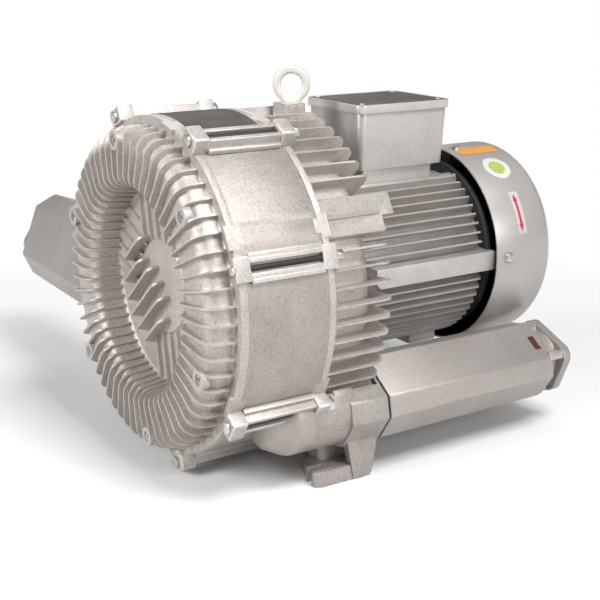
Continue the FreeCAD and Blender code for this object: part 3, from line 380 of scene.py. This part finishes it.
def dressNode(name, width):
    source = cadNodes[name]
    deselectAll()
    copy = source.copy()
    copy.data = source.data.copy()
    copy.name = name + "_dressed"
    copy.parent = None
    for key in list(copy.keys()):  # the node's own marks don't go over to the copy
        del copy[key]
    bpy.context.scene.collection.objects.link(copy)
    makeActive(copy)
    if copy.data.has_custom_normals:
        bpy.ops.mesh.customdata_custom_splitnormals_clear()
    bpy.ops.object.mode_set(mode="EDIT")
    bpy.ops.mesh.select_all(action="SELECT")
    bpy.ops.mesh.remove_doubles(threshold=copyValues["mergeDistance"])
    bpy.ops.mesh.dissolve_limited(angle_limit=math.radians(copyValues["flatAngle"]))
    bpy.ops.object.mode_set(mode="OBJECT")
    setMaterial(copy, ownFinishes.get(name, finishes[slotOf[name]]))
    settings = {"limit_method": "ANGLE", "angle_limit": math.radians(copyValues["sharpAngle"]),
                "use_clamp_overlap": True}
    # the rounded edges get the lighter finish, wear with a painted highlight
    if name in rubbedHighlightNodes:
        copy.data.materials.append(rubbedEdgeHighlight)
        settings["material"] = 1
    softenEdges(copy, width / 1000, copyValues["segments"], **settings)
    smoothCurves(copy)
    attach(copy, bodyOf[name])
    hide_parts(name)
    return copy


# where shade is painted inside the cowl
insideShade = {"wallFacing": -0.08, "grilleFacing": -0.5, "grilleY": 0.43}


def paintShadeInside(piece):  # painted shade: dark on the wall that faces the shaft and on the grille's inner face
    piece.data.materials.append(paintedShadeFinish)
    for face in piece.data.polygons:
        x, y, z = face.center
        nx, ny, nz = face.normal
        onWall = x * nx + (z - shaftHeight) * nz < insideShade["wallFacing"]
        onGrille = ny < insideShade["grilleFacing"] and y > insideShade["grilleY"]
        if onWall or onGrille:
            face.material_index = 1


# the CAD has the lugs and rails at other angles than the photo: the copies lose them here,
# and the next part makes new ones
lugCuts = {"front_cover": (-0.2680, -0.2300), "drum": (-0.2600, -0.1000),
           "rear_housing": (-0.1250, -0.0860)}  # start and end along Y
lugRing = {"inner": 0.27975, "outer": 0.33, "overlap": 0.02}


def cutOldLugs(piece, reach):
    length = reach[1] - reach[0]
    middle = (0, (reach[0] + reach[1]) / 2, shaftHeight)
    ring = addRound(lugRing["outer"], length, middle, roundSides)
    core = addRound(lugRing["inner"], length + lugRing["overlap"], middle, roundSides)
    cutWith(ring, core, "DIFFERENCE")
    cutWith(piece, ring, "DIFFERENCE")
    smoothCurves(piece)


for nodeName, node in cadNodes.items():
    if nodeName in edgeRounding:
        dressed = dressNode(nodeName, edgeRounding[nodeName])
        if nodeName == "fan_cowl":
            paintShadeInside(dressed)
        if nodeName in lugCuts:
            cutOldLugs(dressed, lugCuts[nodeName])
    else:
        setMaterial(node, finishes[slotOf[nodeName]])
print("nodes dressed", len(edgeRounding))


# lugs, rails and tie bolts round the drum

tieAngles = (18, 62, 115, 180, 237, 283, 326)  # degrees from +X towards +Z
tieCircle = 0.292
lowTie = {"angle": 18, "top": 0.2868, "circle": 0.2802, "shrink": 0.7,
          "rounding": 0.0018}  # kept inside the CAD's width
blockValues = {  # offset across, width, foot radius, top radius, start and end along Y, bevel
    "frontLug": (0, 0.038, 0.2785, 0.3060, -0.2660, -0.2400, 0.0030),
    "rearLug": (0, 0.038, 0.2785, 0.3060, -0.1140, -0.0880, 0.0030),
    "upperRail": (0.0116, 0.0076, 0.2790, 0.3005, -0.2405, -0.1135, 0.0012),
    "lowerRail": (-0.0116, 0.0076, 0.2790, 0.3005, -0.2405, -0.1135, 0.0012),
    "upperStep": (0.0190, 0.0080, 0.2790, 0.2880, -0.2405, -0.1135, 0.0020),
    "lowerStep": (-0.0190, 0.0080, 0.2790, 0.2880, -0.2405, -0.1135, 0.0020),
}
blockSegments = 3
boltValues = {  # radius, start and end along Y, corners
    "head": (0.0100, -0.2710, -0.2660, 48),
    "rod": (0.0065, -0.2665, -0.0745, 48),
    "nut": (0.0127, -0.0880, -0.0770, 6),
}
boltBevel = {"width": 0.0008, "segments": 2, "limit_method": "ANGLE"}


def makeBlock(kind, angle):
    offset, width, foot, top, start, end, rounding = blockValues[kind]
    if angle == lowTie["angle"]:
        top = min(top, lowTie["top"])
        rounding = min(rounding, lowTie["rounding"])
    deselectAll()
    turn = math.radians(angle)
    outward = Vector((math.cos(turn), 0, math.sin(turn)))
    across = Vector((-math.sin(turn), 0, math.cos(turn)))
    along = Vector((0, (start + end) / 2, shaftHeight))
    place = outward * ((foot + top) / 2) + across * offset + along
    bpy.ops.mesh.primitive_cube_add(size=1, location=place, rotation=(0, -turn, 0))
    block = bpy.context.active_object
    block.name = "%s_%d" % (kind, angle)
    block.scale = (top - foot, end - start, width)
    applyPlace(block)
    setMaterial(block, finishes["cast_casing"])
    # the block's rounded edges get the lighter finish, wear with a painted highlight
    block.data.materials.append(rubbedEdgeHighlight)
    softenEdges(block, rounding, blockSegments, material=1)
    smoothCurves(block)
    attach(block, "casing")


def makeRounds(name, kinds, node, slot):  # one piece of all seven bolts, or of all seven nuts
    parts = []
    for angle in tieAngles:
        turn = math.radians(angle)
        low = angle == lowTie["angle"]
        circle = lowTie["circle"] if low else tieCircle
        for kind in kinds:
            radius, start, end, corners = boltValues[kind]
            radius *= lowTie["shrink"] if low else 1
            middle = (circle * math.cos(turn), (start + end) / 2,
                      shaftHeight + circle * math.sin(turn))
            part = addRound(radius, end - start, middle, corners)
            applyPlace(part)
            # the rods get the painted shade, as the shadow in the grooves between the rails
            setMaterial(part, paintedShadeFinish if kind == "rod" else finishes[slot])
            softenEdges(part, **boltBevel)
            parts.append(part)
    deselectAll()
    for part in parts:
        part.select_set(True)
    bpy.context.view_layer.objects.active = parts[0]
    bpy.ops.object.join()
    piece = bpy.context.active_object
    piece.name = name
    smoothCurves(piece)
    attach(piece, "casing")
    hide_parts(node)


for tieAngle in tieAngles:
    for blockKind in blockValues:
        makeBlock(blockKind, tieAngle)
makeRounds("tieBolts", ("head", "rod"), "tie_bolts", slotOf["tie_bolts"])
makeRounds("tieNuts", ("nut",), "tie_nuts", slotOf["tie_nuts"])
print("lugs, rails and bolts made", len(tieAngles))


# labels without words

cowlLabel = {"radius": 0.1823, "thick": 0.0003}  # films that lie just over the cowl's sheet


def curvedPatch(name, startAngle, endAngle, startY, endY, radius):
    # a stretch of a tube round the shaft, between two angles in degrees from +X towards +Z
    middle = (0, (startY + endY) / 2, shaftHeight)
    piece = addRound(radius, endY - startY, middle, roundSides, "NOTHING")
    piece.name = name
    applyPlace(piece)
    deleteFaces(piece, lambda face: not startAngle < faceAngle(face) < endAngle)
    return piece


def thickenFilm(piece, thickness=cowlLabel["thick"]):  # outwards
    solid = piece.modifiers.new("filmThickness", "SOLIDIFY")
    solid.thickness = thickness
    solid.offset = 1.0
    applyModifiers(piece)


def finishLabel(piece, material):
    smoothCurves(piece)
    setMaterial(piece, material)
    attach(piece, "casing")


filmPattern = {"blotches": (90.0, 3.0, 0.6), "gloss": 0.30, "matt": 0.42, "coat": 0.4,
               "coatRoughness": 0.2}


def labelFilm(name, dark, light):  # printed film with faint blotches
    material, tree, shader = newMaterial(name)
    blotches = noiseAt(tree, objectPoint(tree), *filmPattern["blotches"])
    toneAndGloss(tree, shader, blotches, blotches, dict(filmPattern, dark=dark, light=light))
    shader.inputs["Coat Weight"].default_value = filmPattern["coat"]
    shader.inputs["Coat Roughness"].default_value = filmPattern["coatRoughness"]
    return material


filmTones = {  # dark and light
    "orangeFilm": ((0.78, 0.32, 0.045), (0.86, 0.38, 0.065)),
    "redFilm": ((0.50, 0.025, 0.06), (0.60, 0.035, 0.08)),
    "paleFilm": ((0.66, 0.65, 0.63), (0.74, 0.73, 0.71)),
    "brownFilm": ((0.085, 0.02, 0.016), (0.12, 0.03, 0.024)),
    "stripFilm": ((0.56, 0.53, 0.53), (0.62, 0.59, 0.59)),
    "greenFilm": ((0.36, 0.47, 0.10), (0.44, 0.55, 0.15)),
}
films = {name: labelFilm(name, dark, light) for name, (dark, light) in filmTones.items()}
plateFilm = mouldedPlastic("plateFilm", plateLook)

patchValues = {  # start and end angle, start and end along Y, radius, thickness, material
    "orangeStrip": (71.9, 81.1, 0.336, 0.422, cowlLabel["radius"], cowlLabel["thick"],
                    films["orangeFilm"]),
    "topPlate": (67, 110, -0.2375, -0.1165, 0.2795, 0.0006, plateFilm),
}


def makePatch(name):
    *place, thickness, material = patchValues[name]
    patch = curvedPatch(name, *place)
    thickenFilm(patch, thickness)
    finishLabel(patch, material)


discValues = {"angle": 57, "y": 0.381, "radius": 0.0275, "innerRadius": 0.0165,
              "patchAngle": 13, "patchReach": 0.04, "cutDepth": 0.03, "sides": 96}


def makeRoundLabel(name, radius, base, material):  # a bare round film, cut from a curved patch
    angle = discValues["angle"]
    middle = discValues["y"]
    film = curvedPatch(name, angle - discValues["patchAngle"], angle + discValues["patchAngle"],
                       middle - discValues["patchReach"], middle + discValues["patchReach"], base)
    thickenFilm(film)
    deselectAll()
    turn = math.radians(angle)
    place = (cowlLabel["radius"] * math.cos(turn), middle,
             shaftHeight + cowlLabel["radius"] * math.sin(turn))
    bpy.ops.mesh.primitive_cylinder_add(vertices=discValues["sides"], radius=radius,
                                        depth=discValues["cutDepth"], location=place,
                                        rotation=(0, math.pi / 2 - turn, 0))
    cutWith(film, bpy.context.active_object, "INTERSECT")
    finishLabel(film, material)


arrowValues = {"start": 14, "end": 39, "startY": 0.3702, "endY": 0.3914, "tip": 1.4, "head": 4.4,
               "shaft": 0.0021, "wide": 0.0050, "border": 0.001, "cuts": 15}


def makeTurnLabel():  # pale strip with a two headed red arrow that points round the cowl
    startY = arrowValues["startY"]
    endY = arrowValues["endY"]
    strip = curvedPatch("turnStrip", arrowValues["start"], arrowValues["end"], startY, endY,
                        cowlLabel["radius"])
    thickenFilm(strip)
    finishLabel(strip, films["stripFilm"])
    low = arrowValues["start"] + arrowValues["tip"]
    high = arrowValues["end"] - arrowValues["tip"]
    middle = (startY + endY) / 2
    arrow = curvedPatch("turnArrow", low, high, startY + arrowValues["border"],
                        endY - arrowValues["border"], cowlLabel["radius"] + cowlLabel["thick"])
    makeActive(arrow)
    bpy.ops.object.mode_set(mode="EDIT")
    bpy.ops.mesh.select_all(action="SELECT")
    bpy.ops.mesh.subdivide(number_cuts=arrowValues["cuts"])

    def outsideArrow(face):  # both heads taper to their tips, the shaft is even
        angle = faceAngle(face)
        away = min(angle - low, high - angle)
        half = arrowValues["shaft"]
        if away < arrowValues["head"]:
            half = arrowValues["wide"] * away / arrowValues["head"]
        return abs(face.center.y - middle) > half

    deleteFaces(arrow, outsideArrow)
    thickenFilm(arrow)
    finishLabel(arrow, films["redFilm"])


tubeLabel = {"place": (0.2245, 0.3775, 0.16245), "normal": (0.559, 0.004, 0.829),
             "size": (0.030, 0.013, 0.0005), "lift": 0.0001}


def makeTubeLabel():  # small bare plate on the near silencer
    deselectAll()
    normal = Vector(tubeLabel["normal"]).normalized()
    turn = math.atan2(normal.x, normal.z)
    place = Vector(tubeLabel["place"]) + normal * tubeLabel["lift"]
    bpy.ops.mesh.primitive_cube_add(size=1, location=place, rotation=(0, turn, 0))
    plate = bpy.context.active_object
    plate.name = "tubePlate"
    plate.scale = tubeLabel["size"]
    applyPlace(plate)
    finishLabel(plate, films["brownFilm"])


# the disc is painted shade, dark as the shadow inside the cowl
shadeDiscValues = {"radius": 0.155, "y": 0.4527, "thick": 0.0014, "sides": 128}


def makeShadeDisc():  # painted shade: a dark disc against the inner face of the grille
    darkDisc = addRound(shadeDiscValues["radius"], shadeDiscValues["thick"],
                      (0, shadeDiscValues["y"], shaftHeight), shadeDiscValues["sides"])
    darkDisc.name = "shadeDisc"
    applyPlace(darkDisc)
    setMaterial(darkDisc, paintedShadeFinish)
    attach(darkDisc, "casing")


for patchName in patchValues:
    makePatch(patchName)
makeShadeDisc()
makeRoundLabel("roundLabel", discValues["radius"], cowlLabel["radius"], films["paleFilm"])
makeRoundLabel("roundMark", discValues["innerRadius"], cowlLabel["radius"] + cowlLabel["thick"],
               films["greenFilm"])
makeTurnLabel()
makeTubeLabel()
print("labels made")


# floor, light and camera

stageValues = {"floorSize": 60.0, "floorRoughness": 0.9, "floorSpecular": 0.1,
               "seenColour": (0.96, 0.96, 0.96), "bounceColour": (0.34, 0.33, 0.32),
               "nearRadius": 0.75, "farRadius": 1.5, "worldLight": 0.22}
plainWhite = {"Color": (1, 1, 1, 1), "Strength": 1.0}


def seenDirectly(tree):  # one for rays from the camera, in mirrors and through glass
    path = addNode(tree, "ShaderNodeLightPath")
    total = path.outputs["Is Camera Ray"]
    for name in ("Is Glossy Ray", "Is Transmission Ray"):
        adding = addNode(tree, "ShaderNodeMath", operation="ADD", use_clamp=True)
        tree.links.new(total, adding.inputs[0])
        tree.links.new(path.outputs[name], adding.inputs[1])
        total = adding.outputs[0]
    return total


def blendShaders(tree, share, first, second, output):
    blend = addNode(tree, "ShaderNodeMixShader")
    for socket, link in zip(blend.inputs, (share, first, second)):
        tree.links.new(link, socket)
    tree.links.new(blend.outputs[0], output.inputs["Surface"])


def makeFloor():  # takes the shadow near the blower and runs out into plain white
    deselectAll()
    bpy.ops.mesh.primitive_plane_add(size=stageValues["floorSize"], location=(0, 0, 0))
    floor = bpy.context.active_object
    floor.name = "studioFloor"
    material, tree, shader = newMaterial("paleFloor")
    seen = seenDirectly(tree)
    tree.links.new(mixColours(tree, seen, stageValues["bounceColour"], stageValues["seenColour"]),
                   shader.inputs["Base Color"])
    shader.inputs["Roughness"].default_value = stageValues["floorRoughness"]
    shader.inputs["Specular IOR Level"].default_value = stageValues["floorSpecular"]
    length = addNode(tree, "ShaderNodeVectorMath", operation="LENGTH")
    tree.links.new(objectPoint(tree), length.inputs[0])
    reach = addNode(tree, "ShaderNodeMapRange", {"From Min": stageValues["nearRadius"],
                                                 "From Max": stageValues["farRadius"]})
    tree.links.new(length.outputs["Value"], reach.inputs["Value"])
    share = addNode(tree, "ShaderNodeMath", operation="MULTIPLY")
    tree.links.new(reach.outputs["Result"], share.inputs[0])
    tree.links.new(seen, share.inputs[1])
    white = addNode(tree, "ShaderNodeEmission", plainWhite)
    blendShaders(tree, share.outputs[0], shader.outputs["BSDF"], white.outputs[0],
                 tree.nodes["Material Output"])
    setMaterial(floor, material)


def makeWorld():  # plain white to the camera, and a weaker even light on the blower
    world = bpy.data.worlds.new("studioWorld")
    bpy.context.scene.world = world
    world.use_nodes = True
    tree = world.node_tree
    tree.nodes.clear()
    output = tree.nodes.new("ShaderNodeOutputWorld")
    lighting = addNode(tree, "ShaderNodeBackground",
                       dict(plainWhite, Strength=stageValues["worldLight"]))
    seen = addNode(tree, "ShaderNodeBackground", plainWhite)
    path = addNode(tree, "ShaderNodeLightPath")
    blendShaders(tree, path.outputs["Is Camera Ray"], lighting.outputs[0], seen.outputs[0],
                 output)


lampValues = {  # place, target, size across and up, power
    "topSoft": ((1.5, 0.1, 2.6), (0, 0.05, 0.35), (1.0, 1.0), 62),
    "frontKey": ((0.0, -3.0, 1.7), (-0.1, -0.2, 0.3), (0.9, 1.0), 70),
    "rightFill": ((3.0, 0.9, 1.4), (0, 0.1, 0.3), (0.8, 1.2), 28),
    "backFill": ((-2.5, 1.0, 2.5), (0, 0.1, 0.3), (1.4, 1.4), 20),
}


def addLamp(name, place, target, size, power):
    data = bpy.data.lights.new(name, "AREA")
    data.shape = "RECTANGLE"
    data.size, data.size_y = size
    data.energy = power
    lamp = bpy.data.objects.new(name, data)
    bpy.context.scene.collection.objects.link(lamp)
    lamp.location = place
    lamp.rotation_euler = (Vector(target) - Vector(place)).to_track_quat("-Z", "Y").to_euler()


cameraValues = {  # place and axes in metres, sensor and lens in millimetres
    "place": (1.69546, -1.07398, 0.83076),
    "right": (0.541751, 0.840538, 0.001553),
    "up": (-0.235626, 0.150094, 0.960184),
    "back": (0.806837, -0.520546, 0.279366),
    "sensor": 36.0, "lens": 70.84, "nearClip": 0.05, "farClip": 200.0,
}


def makeCamera():  # the photo's viewpoint
    data = bpy.data.cameras.new("photoCamera")
    data.sensor_width = cameraValues["sensor"]
    data.lens = cameraValues["lens"]
    data.clip_start = cameraValues["nearClip"]
    data.clip_end = cameraValues["farClip"]
    camera = bpy.data.objects.new("photoCamera", data)
    bpy.context.scene.collection.objects.link(camera)
    rows = zip(*(cameraValues[key] for key in ("right", "up", "back", "place")))
    camera.matrix_world = Matrix([list(row) for row in rows] + [[0, 0, 0, 1]])
    bpy.context.scene.camera = camera


makeFloor()
makeWorld()
for lampName, (place, target, size, power) in lampValues.items():
    addLamp(lampName, place, target, size, power)
makeCamera()
bpy.context.scene.view_settings.view_transform = "Standard"
print("stage set")
